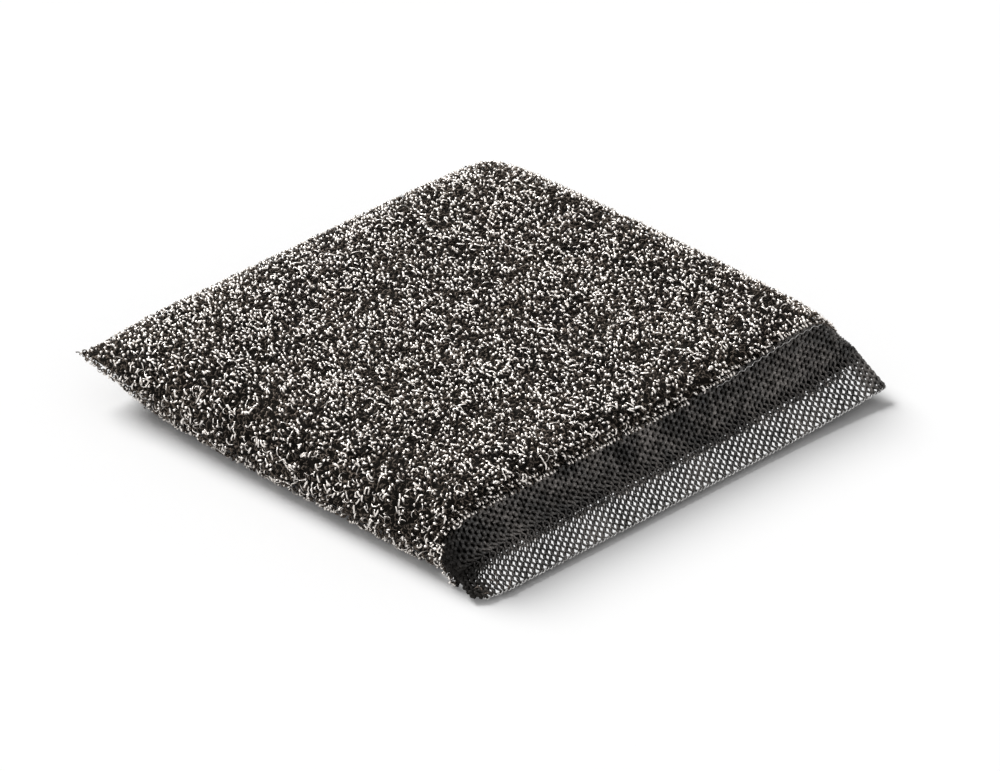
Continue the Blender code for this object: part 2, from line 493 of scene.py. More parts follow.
@dataclass(frozen=True)
class YarnFinish(Finish):
    """A spun yarn: two shades mixed by its fibres, and a fine bump."""

    dark: Colour
    light: Colour
    roughness: float = 0.8
    specular: float = 0.3
    fibre_scale: float = 5200.0
    patch_scale: float = 160.0
    bump: float = 0.5
    bump_depth: float = 0.00006
    levels: Range = (0.38, 0.62)
    takes_painted_light: bool = False

    def wire(self, wires: Wiring) -> dict[str, Fed]:
        """Return what goes into the shader."""
        shade, height = wires.fibres(self.fibre_scale, self.patch_scale)
        colour = wires.ramp(shade, self.levels, (self.dark, self.light))
        specular = self.specular
        # Painted light and shade from the attribute darken the colour and the gloss.
        if self.takes_painted_light:
            painted_light = wires.crest()
            colour = wires.mix(painted_light, self.dark, colour)
            specular = wires.ranged(painted_light, target=(0.0, self.specular))
        return {
            "Base Color": colour,
            "Roughness": self.roughness,
            "Specular IOR Level": specular,
            "Normal": wires.bump(height, self.bump, self.bump_depth),
        }


@dataclass(frozen=True)
class FoamFinish(Finish):
    """Black open foam: small round cells as a bump and as darker pits of painted shade."""

    name: str = "foam_black_cells"
    # The pits' darker colour is painted shade in the cells' hollows.
    painted_pit_shade: Colour = (0.006, 0.006, 0.006, 1.0)
    wall: Colour = (0.022, 0.022, 0.023, 1.0)
    levels: Range = (0.0, 0.6)
    roughness: float = 0.95
    specular: float = 0.1
    cell_scale: float = 1800.0
    bump: float = 0.8
    bump_depth: float = 0.0002

    def wire(self, wires: Wiring) -> dict[str, Fed]:
        """Return what goes into the shader."""
        given = {"Vector": wires.place(), "Scale": self.cell_scale}
        cells = wires.add("TexVoronoi", given, "Distance")
        return {
            "Base Color": wires.ramp(cells, self.levels, (self.painted_pit_shade, self.wall)),
            "Roughness": self.roughness,
            "Specular IOR Level": self.specular,
            "Normal": wires.bump(cells, self.bump, self.bump_depth),
        }


@dataclass(frozen=True)
class FilmFinish(Finish):
    """Silver film twisted with dark yarn: it glints on each loop's crest and hides lower down in
    dark yarn colour that is partly painted shade.
    """

    # The loop's colour low down: the dark yarn, partly standing in as painted shade deep in the
    # pile.
    yarn: Colour
    film_shade: Colour
    film: Colour
    shaded_bare_from: float
    shaded_bare_to: float
    levels: Range = (0.36, 0.52)
    metallic: float = 0.8
    film_roughness: float = 0.32
    yarn_roughness: float = 0.8
    specular: float = 0.6
    fibre_scale: float = 2600.0
    patch_scale: float = 900.0
    bump: float = 0.15
    bump_depth: float = 0.00005

    def wire(self, wires: Wiring) -> dict[str, Fed]:
        """Return what goes into the shader."""
        # Painted shade in part: low on each loop the film gives way to the dark yarn colour.
        film_over_shaded_bare = wires.ranged(wires.crest(), (self.shaded_bare_from, self.shaded_bare_to))
        shade, height = wires.fibres(self.fibre_scale, self.patch_scale)
        film = wires.ramp(shade, self.levels, (self.film_shade, self.film))
        return {
            "Base Color": wires.mix(film_over_shaded_bare, self.yarn, film),
            "Metallic": wires.ranged(film_over_shaded_bare, target=(0.0, self.metallic)),
            "Roughness": wires.ranged(film_over_shaded_bare, target=(self.yarn_roughness, self.film_roughness)),
            "Specular IOR Level": self.specular,
            "Normal": wires.bump(height, self.bump, self.bump_depth),
        }


def opaque(red: float, green: float, blue: float) -> Colour:
    """Return a colour that lets nothing through."""
    return red, green, blue, 1.0


CHARCOAL_YARN = YarnFinish(
    "charcoal_pile_yarn", dark=opaque(0.014, 0.011, 0.009), light=opaque(0.275, 0.228, 0.190),
    specular=0.1,
)
TUFT_FILM = FilmFinish(
    "silver_film_on_tufts", yarn=opaque(0.07, 0.06, 0.052), film_shade=opaque(0.80, 0.74, 0.68),
    film=opaque(0.99, 0.94, 0.89), shaded_bare_from=0.08, shaded_bare_to=0.34,
)
ARC_FILM = FilmFinish(
    "silver_film_on_arcs", yarn=opaque(0.10, 0.09, 0.08), film_shade=opaque(0.66, 0.61, 0.56),
    film=opaque(0.96, 0.91, 0.86), shaded_bare_from=0.05, shaded_bare_to=0.3,
)
STRAND_FILM = FilmFinish(
    "silver_film_strand", yarn=opaque(0.10, 0.09, 0.08), film_shade=opaque(0.35, 0.34, 0.33),
    film=opaque(0.75, 0.74, 0.73), shaded_bare_from=0.0, shaded_bare_to=0.5,
)
NET_YARN = YarnFinish(
    "dark_net_yarn", dark=opaque(0.012, 0.011, 0.010), light=opaque(0.425, 0.386, 0.360),
    roughness=0.45, specular=0.8, fibre_scale=3200.0, levels=(0.44, 0.62), takes_painted_light=True,
)
GROUND_KNIT = YarnFinish(
    "pile_ground_knit", dark=opaque(0.008, 0.007, 0.006), light=opaque(0.03, 0.026, 0.022),
    roughness=0.95, specular=0.1, bump=1.0,
)
BROWN_END = YarnFinish(
    "brown_yarn_end", dark=opaque(0.10, 0.075, 0.06), light=opaque(0.36, 0.30, 0.26), roughness=0.7,
)


def add_piece(
    name: str, mesh: bpy.types.Mesh, finish: bpy.types.Material
) -> bpy.types.Object:
    """Put a finished mesh in the scene as one piece of the pad.

    Args:
        name: The piece's name.
        mesh: Its mesh, already in place.
        finish: Its material.

    Returns:
        The new object, riding on the pad's one body.
    """
    mesh.materials.clear()
    mesh.materials.append(finish)
    made = bpy.data.objects.new(name, mesh)
    bpy.context.scene.collection.objects.link(made)
    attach(made, "root")
    log.info("%s: %d faces", name, len(mesh.polygons))
    return made


@dataclass(frozen=True)
class LoopShape:
    """One loop of yarn or film: a tube bent over into an arch, with both feet down."""

    reach: float
    thick: float
    wide: float
    sides: int = 3
    steps: int = 4
    sweep_deg: float = 215.0
    stretch: float = 1.0
    tall: float = 1.0
    lean: float = 0.0
    twist: float = 0.0

    def build(self) -> tuple[Array, list[tuple[int, ...]]]:
        """Model the loop with its top at the origin and its feet at -Z.

        Returns:
            Its points, and its faces as point numbers.
        """
        mesh = bmesh.new()
        bmesh.ops.create_circle(mesh, cap_ends=False, segments=self.sides, radius=1.0)
        bmesh.ops.scale(mesh, vec=(self.thick / 2, self.wide / 2, 1.0), verts=mesh.verts)
        bmesh.ops.translate(mesh, vec=(self.reach, 0.0, 0.0), verts=mesh.verts)
        hang = math.radians(self.sweep_deg - 180) / 2
        turn = Matrix.Rotation(hang, 3, "Y")
        bmesh.ops.rotate(mesh, cent=(0, 0, 0), matrix=turn, verts=mesh.verts)
        bmesh.ops.spin(
            mesh, geom=mesh.edges[:], cent=(0, 0, 0), axis=(0, -1, 0),
            angle=math.radians(self.sweep_deg), steps=self.steps, use_merge=False,
            use_duplicate=False,
        )
        bmesh.ops.holes_fill(mesh, edges=mesh.edges[:], sides=self.sides)
        for point in mesh.verts:
            point.co.x *= self.stretch
            point.co.y += self.lean * point.co.z + self.twist * point.co.x
            point.co.z = self.tall * (point.co.z - self.reach)
        bmesh.ops.recalc_face_normals(mesh, faces=mesh.faces[:])
        mesh.verts.index_update()
        points = np.array([point.co[:] for point in mesh.verts])
        faces = [tuple(point.index for point in face.verts) for face in mesh.faces]
        mesh.free()
        return points, faces

    def crest(self, points: Array) -> Array:
        """Return 1 at the top of the loop, falling to 0 at the middle of its bend."""
        return np.clip(1 + points[:, 2] / (self.reach * self.tall), 0.0, 1.0)


@dataclass
class Spots:
    """Where loops stand: the row and the column of each on the pile's skin."""

    rows: Array
    columns: Array

    def __len__(self) -> int:
        """Return how many loops there are."""
        return len(self.rows)

    def kept(self, keep: Array) -> "Spots":
        """Return the spots where keep is true."""
        return Spots(self.rows[keep], self.columns[keep])


@dataclass
class LoopField:
    """Loops of one kind, scattered over the pile's skin."""

    name: str
    finish: YarnFinish | FilmFinish
    shapes: list[LoopShape]
    proud: float
    proud_spread: float
    scale_spread: float
    tilt_deg: float
    seed: int
    grain_deg: float | None = None
    jitter: float = 0.45
    calm_reach: float = 0.0012
    least_calm: float = 0.25
    droop: float = 0.0
    droop_way: tuple[float, float, float] = (0.0, -0.46, -0.88)
    seam_rows: int = 6
    seam_shrink: float = 0.3
    seam_sink: float = 0.0003
    deepest: float = 0.0002
    level_from: float = 0.75
    lean_power: float = 0.7
    most_faces: int = 95_000

    def place(self, skin: Skin, spots: Spots, form: PadForm) -> list[bpy.types.Object]:
        """Build the loops.

        Args:
            skin: The pile's skin.
            spots: Where they stand.
            form: The pad's form, near whose pile's end the loops stand in even rows.

        Returns:
            The pieces, as many as keep each one light.
        """
        chance = np.random.default_rng(self.seed)
        count = len(spots)
        last = len(skin.points) - 1.0
        even_points, _ = skin.at(spots.rows, spots.columns)
        ahead = even_points[:, 1] - form.pile_end(even_points)
        close = 1 - np.clip(ahead / self.calm_reach, 0.0, 1.0)
        calm = np.maximum(1 - close, self.least_calm)
        near_seam = eased((spots.rows - last + self.seam_rows) / self.seam_rows)
        row = np.clip(spots.rows + calm * self.jitter * chance.uniform(-1, 1, count), 0, last)
        column = spots.columns + calm * self.jitter * chance.uniform(-1, 1, count)
        points, normals = skin.at(row, column)
        sideways = unit(np.cross(normals, self._headings(chance, normals)))
        lean = chance.uniform(0, 1, count) ** self.lean_power
        tilt = calm * np.tan(np.radians(self.tilt_deg)) * lean
        away = np.cross(normals, sideways)
        swing = chance.uniform(0, 2 * math.pi, count)
        upward = normals + tilt[:, None] * (
            np.cos(swing)[:, None] * sideways + np.sin(swing)[:, None] * away
        )
        upward = unit(upward + self.droop * close[:, None] * np.array(self.droop_way))
        sideways = unit(square_to(sideways, upward))
        axes = np.stack([sideways, np.cross(upward, sideways), upward], axis=1)
        scale = 1 + chance.uniform(-self.scale_spread, self.scale_spread, count)
        scale *= 1 - self.seam_shrink * near_seam
        proud = self.proud + self.proud_spread * chance.uniform(-1, 1, count)
        proud -= self.seam_sink * near_seam
        room = (points[:, 2] - form.floor_gap / 2) / np.maximum(-normals[:, 2], LEAST_FACING)
        proud = np.minimum(proud, np.maximum(room, -self.deepest))
        kinds = chance.integers(0, len(self.shapes), count)
        return self._pieces(points + normals * proud[:, None], axes, scale, kinds)

    def _headings(self, chance: np.random.Generator, normals: Array) -> Array:
        """Return directions across which the loops stand.

        Args:
            chance: The source of chance.
            normals: The outward directions at the loops.

        Returns:
            Any directions without a grain. With one, the loops lie roughly along Y on the level and
            hang down on the sides.
        """
        if self.grain_deg is None:
            return chance.normal(size=normals.shape)
        turn = np.radians(self.grain_deg) * chance.normal(size=(len(normals), 1))
        on_side = np.cross(normals, [0.0, 0.0, 1.0])
        base = np.where(normals[:, 2:] > self.level_from, [1.0, 0.0, 0.0], on_side)
        return base * np.cos(turn) + np.cross(normals, base) * np.sin(turn)

    def _pieces(
        self, points: Array, axes: Array, scale: Array, kinds: Array
    ) -> list[bpy.types.Object]:
        """Copy the shapes to their places, split into pieces under the most faces."""
        templates = [shape.build() for shape in self.shapes]
        per_piece = self.most_faces // len(templates[0][1])
        made = []
        for number, start in enumerate(range(0, len(points), per_piece)):
            soup = Soup()
            for kind, (shape, faces) in enumerate(templates):
                chosen = np.flatnonzero(kinds[start : start + per_piece] == kind) + start
                moved = np.einsum("vi,nij->nvj", shape, axes[chosen]) * scale[chosen, None, None]
                moved += points[chosen][:, None]
                moved[..., 2] = np.maximum(moved[..., 2], FLOOR_CLEARANCE)
                soup.add_copies(moved, faces, self.shapes[kind].crest(shape))
            mesh = soup.mesh(f"{self.name}_{number + 1}")
            made.append(add_piece(mesh.name, mesh, self.finish.build()))
        return made


@dataclass
class Soup:
    """Many copies of small shapes, gathered into one mesh."""

    points: list[Array] = field(default_factory=list)
    loops: list[Array] = field(default_factory=list)
    totals: list[Array] = field(default_factory=list)
    crests_and_painted_light: list[Array] = field(default_factory=list)
    count: int = 0

    def add_copies(
        self, copies: Array, faces: list[tuple[int, ...]], crest: Array | None = None
    ) -> None:
        """Add copies of one shape.

        Args:
            copies: The points of each copy, by copy, point and axis.
            faces: The shape's faces, as point numbers.
            crest: How near the top of its loop each of the shape's points is, from 0 to 1.
        """
        heights = np.ones(copies.shape[1]) if crest is None else crest
        self.crests_and_painted_light.append(np.tile(heights, len(copies)))
        number, size = copies.shape[:2]
        flat = np.concatenate([np.array(face) for face in faces])
        shifts = self.count + size * np.arange(number)
        self.points.append(copies.reshape(-1, 3))
        self.loops.append((flat[None] + shifts[:, None]).reshape(-1))
        self.totals.append(np.tile([len(face) for face in faces], number))
        self.count += number * size

    def add_tubes(self, tubes: Array, shades: Array | None = None) -> None:
        """Add tubes with closed ends.

        Args:
            tubes: Their points, by tube, step along it, place round it and axis.
            shades: The painted light and shade of each tube at each step, from 0 to 1.
        """
        number, steps, sides = tubes.shape[:3]
        grid = np.arange(steps * sides).reshape(steps, sides)
        right = np.roll(grid, -1, axis=1)
        quads = np.stack([grid[:-1], right[:-1], right[1:], grid[1:]], axis=-1).reshape(-1, 4)
        faces = [tuple(quad) for quad in quads.tolist()]
        faces += [tuple(grid[0, ::-1].tolist()), tuple(grid[-1].tolist())]
        self.add_copies(tubes.reshape(number, -1, 3), faces)
        if shades is not None:
            # On the net this attribute holds painted light and shade, not a crest.
            self.crests_and_painted_light[-1] = np.repeat(shades.ravel(), sides)

    def mesh(self, name: str) -> bpy.types.Mesh:
        """Return all of it as one smooth mesh."""
        made = bpy.data.meshes.new(name)
        points = np.concatenate(self.points)
        loops = np.concatenate(self.loops)
        totals = np.concatenate(self.totals)
        made.vertices.add(len(points))
        made.vertices.foreach_set("co", points.astype(np.float32).ravel())
        made.loops.add(len(loops))
        made.loops.foreach_set("vertex_index", loops.astype(np.int32))
        made.polygons.add(len(totals))
        starts = np.concatenate([[0], np.cumsum(totals)[:-1]])
        made.polygons.foreach_set("loop_start", starts.astype(np.int32))
        made.update(calc_edges=True)
        made.validate()
        made.shade_smooth()
        # Holds each loop's crest; on the net it holds painted light and shade.
        crest = made.attributes.new(CREST_AND_PAINTED_LIGHT, "FLOAT", "POINT")
        crest.data.foreach_set("value", np.concatenate(self.crests_and_painted_light).astype(np.float32))
        return made


def swept(points: Array, normals: Array, radius: Array | float, sides: int) -> Array:
    """Sweep a round section along lines of points.

    Args:
        points: The points, by line, step and axis.
        normals: The outward direction at each.
        radius: The radius, one or by step.
        sides: How many sides the section has.

    Returns:
        The tubes' points, by line, step, place round the tube and axis.
    """
    along = unit(np.gradient(points, axis=1))
    upward = unit(square_to(normals, along))
    sideways = np.cross(along, upward)
    turn = np.linspace(0, 2 * math.pi, sides, endpoint=False)[None, None, :, None]
    ring = upward[:, :, None] * np.cos(turn) + sideways[:, :, None] * np.sin(turn)
    wide = np.broadcast_to(np.asarray(radius, dtype=float), points.shape[:2])
    return points[:, :, None] + wide[:, :, None, None] * ring


@dataclass
class Pile:
    """The looped pile: a dark knitted ground, charcoal yarn loops and silver film loops."""

    form: PadForm
    pitch: float = 0.00094
    ground_depth: float = 0.0010
    ground_wall: float = 0.0005
    ground_pitch: float = 0.0022
    ground_start: float = 0.0004
    ground_stop: float = 0.0003
    band_rows: int = 4
    under_share: float = 0.40
    tuft_share: float = 0.57
    border_share: float = 0.80
    stroke_share: float = 0.11
    arc_share: float = 0.02
    front_rows: int = 9
    front_pitch: float = 0.00044
    small_patch: float = 0.0021
    small_contrast: float = 0.5
    large_patch: float = 0.0080
    large_contrast: float = 0.35
    calm_depth: float = 0.0018
    rear_reach: float = 0.0045
    rear_loss: float = 0.55
    low_reach: float = 0.0045
    steep_from: float = 0.9
    steep_over: float = 0.5
    tuft_side_loss: float = 0.5
    stroke_side_gain: float = 0.3
    arc_side_gain: float = 6.0
    arc_low_loss: float = 0.6
    room_share: float = 0.35
    under_from: float = -0.75
    crowded_from: float = -0.5

    def build(self) -> list[bpy.types.Object]:
        """Build the ground and the loops."""
        ground = self.build_ground()
        front = self.form.border_y - self.front_pitch * np.arange(self.front_rows, 0, -1)
        rows = self.form.stations(self.form.border_y, self.form.seam_y, self.pitch)
        count = round(2 * (self.form.width + self.form.thickness) / self.pitch)
        skin = Skin.over(self.form, np.concatenate([front, rows]), count)
        return [ground, *self.charcoal(skin), *self.silver(skin)]

    def build_ground(self) -> bpy.types.Object:
        """Build the knitted ground under the loops: a shell with a wall, open where the net is."""
        form = self.form
        start = form.crease_y + self.ground_start
        band = np.linspace(start, form.border_y, self.band_rows, endpoint=False)
        stop = form.seam_y - self.ground_stop
        pile = form.stations(form.border_y, stop, self.ground_pitch)
        rows = np.concatenate([band, pile])
        count = 2 * round((form.width + form.thickness) / self.ground_pitch)
        skin = Skin.over(form, rows, count)
        room = np.array([min(form.rise_and_drop(float(y))) for y in rows])
        mesh = bmesh.new()
        shells = []
        for depth in (self.ground_depth, self.ground_depth + self.ground_wall):
            inward = np.minimum(depth, self.room_share * room * depth / self.ground_depth)
            inset = skin.points - skin.normals * inward[:, None, None]
            shells.append([[mesh.verts.new(point) for point in row] for row in inset])
        for shell, turn in zip(shells, (1, -1)):
            for first, second in zip(shell, shell[1:]):
                for k in range(count):
                    face = (first[k], first[k - 1], second[k - 1], second[k])
                    mesh.faces.new(face[::turn])
            last = shell[-1]
            for k in range(count // 2):
                face = [last[k], last[k + 1], last[(-k - 1) % count], last[-k % count]]
                corners = list(dict.fromkeys(face))
                mesh.faces.new(corners[::-turn])
        outer, inner = shells[0][0], shells[1][0]
        for k in range(count):
            mesh.faces.new((outer[k - 1], outer[k], inner[k], inner[k - 1]))
        bmesh.ops.recalc_face_normals(mesh, faces=mesh.faces[:])
        data = bpy.data.meshes.new("pile_ground")
        mesh.to_mesh(data)
        mesh.free()
        data.shade_smooth()
        made = add_piece("pile_ground", data, GROUND_KNIT.build())
        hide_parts("knit_sleeve")
        return made

    def spots(self, skin: Skin, share: Array | float, seed: int) -> Spots:
        """Choose places for loops on a lattice whose every second row is offset by half.

        Args:
            skin: The pile's skin.
            share: The share of the lattice that gets a loop, one or by place.
            seed: The seed of the choice.

        Returns:
            The places.
        """
        all_spots = self.lattice(skin)
        chance = np.random.default_rng(seed)
        under = self.is_under(skin, all_spots)
        wanted = share * np.where(under, self.under_share, 1.0)
        return all_spots.kept(chance.uniform(size=len(all_spots)) < wanted)

    def lattice(self, skin: Skin) -> Spots:
        """Return every place for a loop, up to the pile's end."""
        rows, columns = np.meshgrid(*(np.arange(n) for n in skin.points.shape[:2]), indexing="ij")
        places = Spots(rows.ravel().astype(float), (columns + 0.5 * (rows % 2)).ravel())
        points, normals = skin.at(places.rows, places.columns)
        in_front = (places.rows < self.front_rows) & (places.rows % 2 == 1)
        crowded = in_front & (normals[:, 1] > self.crowded_from)
        return places.kept((points[:, 1] > self.form.pile_end(points)) & ~crowded)

    def is_under(self, skin: Skin, spots: Spots) -> Array:
        """Tell which places lie on the underside, where the pad rests."""
        _, normals = skin.at(spots.rows, spots.columns)
        return normals[:, 2] < self.under_from

    def charcoal(self, skin: Skin) -> list[bpy.types.Object]:
        """Build the charcoal loops, which cover the ground."""
        shapes = [
            LoopShape(0.00034, 0.00030, 0.00030, steps=3, lean=0.2),
            LoopShape(0.00038, 0.00028, 0.00034, steps=3, lean=-0.3, twist=0.4),
            LoopShape(0.00030, 0.00032, 0.00030, steps=3, twist=-0.5),
            LoopShape(0.00040, 0.00026, 0.00028, steps=3, stretch=1.3, lean=0.4, twist=0.2),
        ]
        made = LoopField(
            "charcoal_loops", CHARCOAL_YARN, shapes, proud=0.00002, proud_spread=0.00022,
            scale_spread=0.2, tilt_deg=45.0, seed=5,
        )
        return made.place(skin, self.spots(skin, 1.0, 3), self.form)

    def silver(self, skin: Skin) -> list[bpy.types.Object]:
        """Build the silver film: narrow upright tufts, strokes laid flat, and thin open arcs."""
        places = self.lattice(skin)
        points, normals = skin.at(places.rows, places.columns)
        small, large = (
            np.array([noise.noise(Vector(point / patch)) for point in points])
            for patch in (self.small_patch, self.large_patch)
        )
        patchy = 1 + self.small_contrast * small + self.large_contrast * large
        rear = eased(1 - (self.form.seam_y - points[:, 1]) / self.rear_reach)
        patchy *= 1 - self.rear_loss * rear
        steep = eased((self.steep_from - normals[:, 2]) / self.steep_over)
        calm = np.clip((points[:, 1] - self.form.pile_end(points)) / self.calm_depth, 0.0, 1.0)
        low = eased(1 - points[:, 2] / self.low_reach)
        tuft_share = self.tuft_share * patchy * (1 - self.tuft_side_loss * steep) * calm
        tuft_share += self.border_share * (1 - calm)
        stroke_share = self.stroke_share * patchy * (1 + self.stroke_side_gain * steep) * calm
        arc_share = self.arc_share * patchy * (1 + self.arc_side_gain * steep)
        arc_share = arc_share * (1 - self.arc_low_loss * low) * calm
        tufts = [
            LoopShape(0.00048, 0.00024, 0.00040, sides=4, stretch=0.42, tall=1.15),
            LoopShape(0.00052, 0.00024, 0.00038, sides=4, stretch=0.42, tall=1.2, lean=0.3),
            LoopShape(0.00044, 0.00024, 0.00042, sides=4, stretch=0.48, tall=1.1, twist=0.5),
            LoopShape(0.00040, 0.00024, 0.00040, sides=4, stretch=0.58, tall=1.1, lean=-0.3),
        ]
        strokes = [
            LoopShape(0.00046, 0.00020, 0.00038, sides=4, stretch=1.10, tall=0.6, twist=0.2),
            LoopShape(0.00040, 0.00020, 0.00036, sides=4, stretch=1.35, tall=0.7, twist=-0.4),
            LoopShape(0.00052, 0.00020, 0.00036, sides=4, stretch=1.30, tall=0.5, lean=0.4),
        ]
        arcs = [
            LoopShape(0.00052, 0.00013, 0.00020, steps=5, lean=0.6),
            LoopShape(0.00066, 0.00013, 0.00018, steps=5, stretch=1.2, lean=-0.5, twist=0.3),
            LoopShape(0.00056, 0.00013, 0.00022, steps=5, stretch=1.4, twist=-0.4),
        ]
        tuft_field = LoopField(
            "silver_tufts", TUFT_FILM, tufts, proud=0.00036, proud_spread=0.00012, scale_spread=0.2,
            tilt_deg=32.0, seed=9, jitter=0.38, droop=1.0,
        )
        stroke_field = LoopField(
            "silver_strokes", TUFT_FILM, strokes, proud=0.00026, proud_spread=0.00010,
            scale_spread=0.3, tilt_deg=25.0, seed=15, grain_deg=35.0,
        )
        arc_field = LoopField(
            "silver_arcs", ARC_FILM, arcs, proud=0.00026, proud_spread=0.00012, scale_spread=0.3,
            tilt_deg=60.0, seed=12,
        )
        made = []
        for kind, share, seed in (
            (tuft_field, tuft_share, 8),
            (stroke_field, stroke_share, 14),
            (arc_field, arc_share, 11),
        ):
            made += kind.place(skin, self.spots(skin, share, seed), self.form)
        return made


@dataclass
class NetEnd:
    """The plain net: wavy wales that touch their neighbours in turn and leave holes between.

    Each wale runs down the band and the flap's top layer, round the edge and back underneath.
    """

    form: PadForm
    wale_pitch: float = 0.00092
    course_pitch: float = 0.00136
    flap_yarn: float = 0.00036
    band_yarn: float = 0.00063
    full_before: float = 0.0004
    full_over: float = 0.0016
    knot_swell: float = 0.25
    band_swell: float = 0.34
    band_swing: float = 0.00018
    unevenness: float = 0.16
    margin_swell: float = 0.75
    sides: int = 5
    steps_per_course: int = 6
    side_margin: float = 0.0042
    side_fade: float = 0.0014
    side_thinning: float = 0.8
    corner_radius: float = 0.0034
    # How deep the painted shade at the -X corner is.
    corner_painted_shade: float = 0.90
    even_shade: float = 0.62
    # Painted shade between the band's knots.
    valley_painted_shade: float = 0.18
    least_swell: float = 0.95
    painted_shade_width: float = 0.0100
    turn_start: float = 1.13
    under_slope: float = 1.13
    under_reach: float = 0.0014
    top_reach: float = 0.0003
    top_steps: int = 76
    row_pitch: float = 0.00030
    layer_shift: float = 0.00024
    layer_offset: float = 0.000525
    least_place: float = 0.0005
    swing: float = 0.00020
    knot_lift: float = 0.00007
    edge_thread: float = 0.00022
    edge_inset: float = 0.00008
    thread_start: float = 0.003
    thread_end: float = 0.6
    edge_swing: float = 0.00012
    edge_bob: float = 0.00020
    edge_drift: float = 0.00008
    turn_steps: int = 4
    half_courses: int = 80
    first_half_course: int = -14

    @property
    def start(self) -> float:
        """Return how far from the flap's edge the flat run of a wale starts, on either side."""
        return self.form.flap_half * self.turn_start

    def build(self) -> list[bpy.types.Object]:
        """Build every wale as a tube, and the thread along the flap's edge."""
        form = self.form
        flap = np.linspace(form.edge_y, form.crease_y, round(form.flap_reach / self.row_pitch) + 1)
        last = form.border_y + 2 * self.top_reach
        band = np.linspace(form.crease_y, last, round(4 * form.band_reach / self.row_pitch) + 1)
        skin = Skin.over(form, np.concatenate([flap, band[1:]]), NET_COLUMNS)
        way = self._distances(skin, NET_COLUMNS // 4)
        under_way = self._distances(skin, NET_COLUMNS * 3 // 4)
        step = self.course_pitch / self.steps_per_course
        back = np.arange(self.start, form.flap_reach * self.under_slope + self.under_reach, step)
        under = (np.interp(back, under_way, np.arange(len(under_way))), back - self.start)
        soup = Soup()
        lines, ups, radii, shades = [], [], [], []
        for place, turn in self._wales():
            over = self._over(skin, way, place)
            line, upward, radius = self._wale(skin, place, turn, over, under)
            lines.append(line)
            ups.append(upward)
            from_side = min(place, 1 - place) * form.width
            margin = eased((self.side_margin - from_side) / self.side_fade)
            swell = self.margin_swell * margin * (1 - self.side_thinning * self._full(line[:, 1]))
            radii.append(radius * (1 + swell))
            line[:, 2] = np.maximum(line[:, 2], radii[-1] + FLOOR_CLEARANCE)
            # Painted shade: the net darkens, colour and gloss, towards its -X corner.
            painted_corner_dim = 1 - self.corner_painted_shade * eased(1 - (1 - place) * form.width / self.painted_shade_width)
            # Painted highlights on the band's knots and painted shade between them.
            shades.append(painted_corner_dim * self._painted_relief(line, radius))
        tubes = swept(np.array(lines), np.array(ups), np.array(radii), self.sides)
        soup.add_tubes(tubes, np.array(shades))
        made = add_piece("net_end", soup.mesh("net_end"), NET_YARN.build())
        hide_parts("knit_sleeve")
        return [made, self.build_edge_thread(skin)]

    def _distances(self, skin: Skin, column: int) -> Array:
        """Return how far each of the skin's rows is from the flap's edge, along one column."""
        steps = np.linalg.norm(np.diff(skin.points[:, column], axis=0), axis=1)
        return np.concatenate([[0.0], np.cumsum(steps)])

    def _over(self, skin: Skin, way: Array, place: float) -> tuple[Array, Array]:
        """Return the rows that a wale crosses on top, up to the pile, and the way to each."""
        line = skin.points[:, int(place * NET_COLUMNS / 2)]
        rows_before_pile = int((line[:, 1] < self.form.pile_end(line)).sum())
        last = way[min(rows_before_pile, len(way) - 1)] + self.top_reach
        walked = np.linspace(self.start, min(last, way[-1]), self.top_steps)
        return np.interp(walked, way, np.arange(len(way))), walked - self.start

    def _wales(self) -> list[tuple[float, float]]:
        """Return each wale's place over the width and the sense of its swing."""
        count = round(self.form.width / self.wale_pitch)
        return [((number + 0.5) / count, 1.0 if number % 2 else -1.0) for number in range(count)]

    def _wave(self, phase: Array) -> Array:
        """Return the wale's sideways swing at a phase in courses."""
        return np.cos(2 * math.pi * phase)

    def _wale(
        self,
        skin: Skin,
        place: float,
        turn: float,
        over: tuple[Array, Array],
        under: tuple[Array, Array],
    ) -> tuple[Array, Array, Array]:
        """Route one wale.

        Args:
            skin: The net's skin.
            place: Where it stands over the width, from 0 at +X to 1 at -X.
            turn: The sense of its first swing, 1 or -1.
            over: Row numbers along the top, and the distance to each.
            under: The same for the underside.

        Returns:
            Its points, the outward direction and the radius at each.
        """
        half = NET_COLUMNS / 2
        chance = np.random.default_rng(round(place * SEED_SPREAD))
        loose = chance.uniform(-self.unevenness, self.unevenness, (2, self.half_courses))
        swing = self.swing / self.form.width * half * turn
        along = np.interp(over[0], np.arange(len(skin.points)), skin.points[:, 0, 1])
        high_swing = swing * (1 - (1 - self.band_swing / self.swing) * self._full(along))
        short = self._shortened(1 - place) * self._rows_per_metre(skin)
        over = (over[0] + short, over[1])
        under = (under[0] + short, under[1])
        top_phase = over[1] / self.course_pitch
        turn_phase = -(1 - self.layer_shift / self.course_pitch)
        under_phase = turn_phase - under[1] / self.course_pitch
        angles = np.linspace(0, math.pi, self.turn_steps + 2)[1:-1]
        bend_phase = turn_phase * angles / math.pi
        high_swing *= 1 + self._at(loose[0], top_phase)
        high, high_up = self._lay(skin, over[0], half * place + high_swing * self._wave(top_phase))
        offset = min(self.layer_offset / self.form.width, place - self.least_place)
        low_place = half * (place - offset)
        low_swing = swing * (1 + self._at(loose[0], under_phase))
        low_column = 2 * half - low_place - low_swing * self._wave(under_phase)
        low, low_up = self._lay(skin, under[0], low_column)
        bend_swing = swing * (1 + self._at(loose[0], bend_phase))
        bend = half * (place - offset * angles / math.pi) + bend_swing * self._wave(bend_phase)
        upper, _ = self._lay(skin, np.full(len(angles), over[0][0]), bend)
        lower, _ = self._lay(skin, np.full(len(angles), under[0][0]), 2 * half - bend)
        outward = unit(high[0] - high[2])
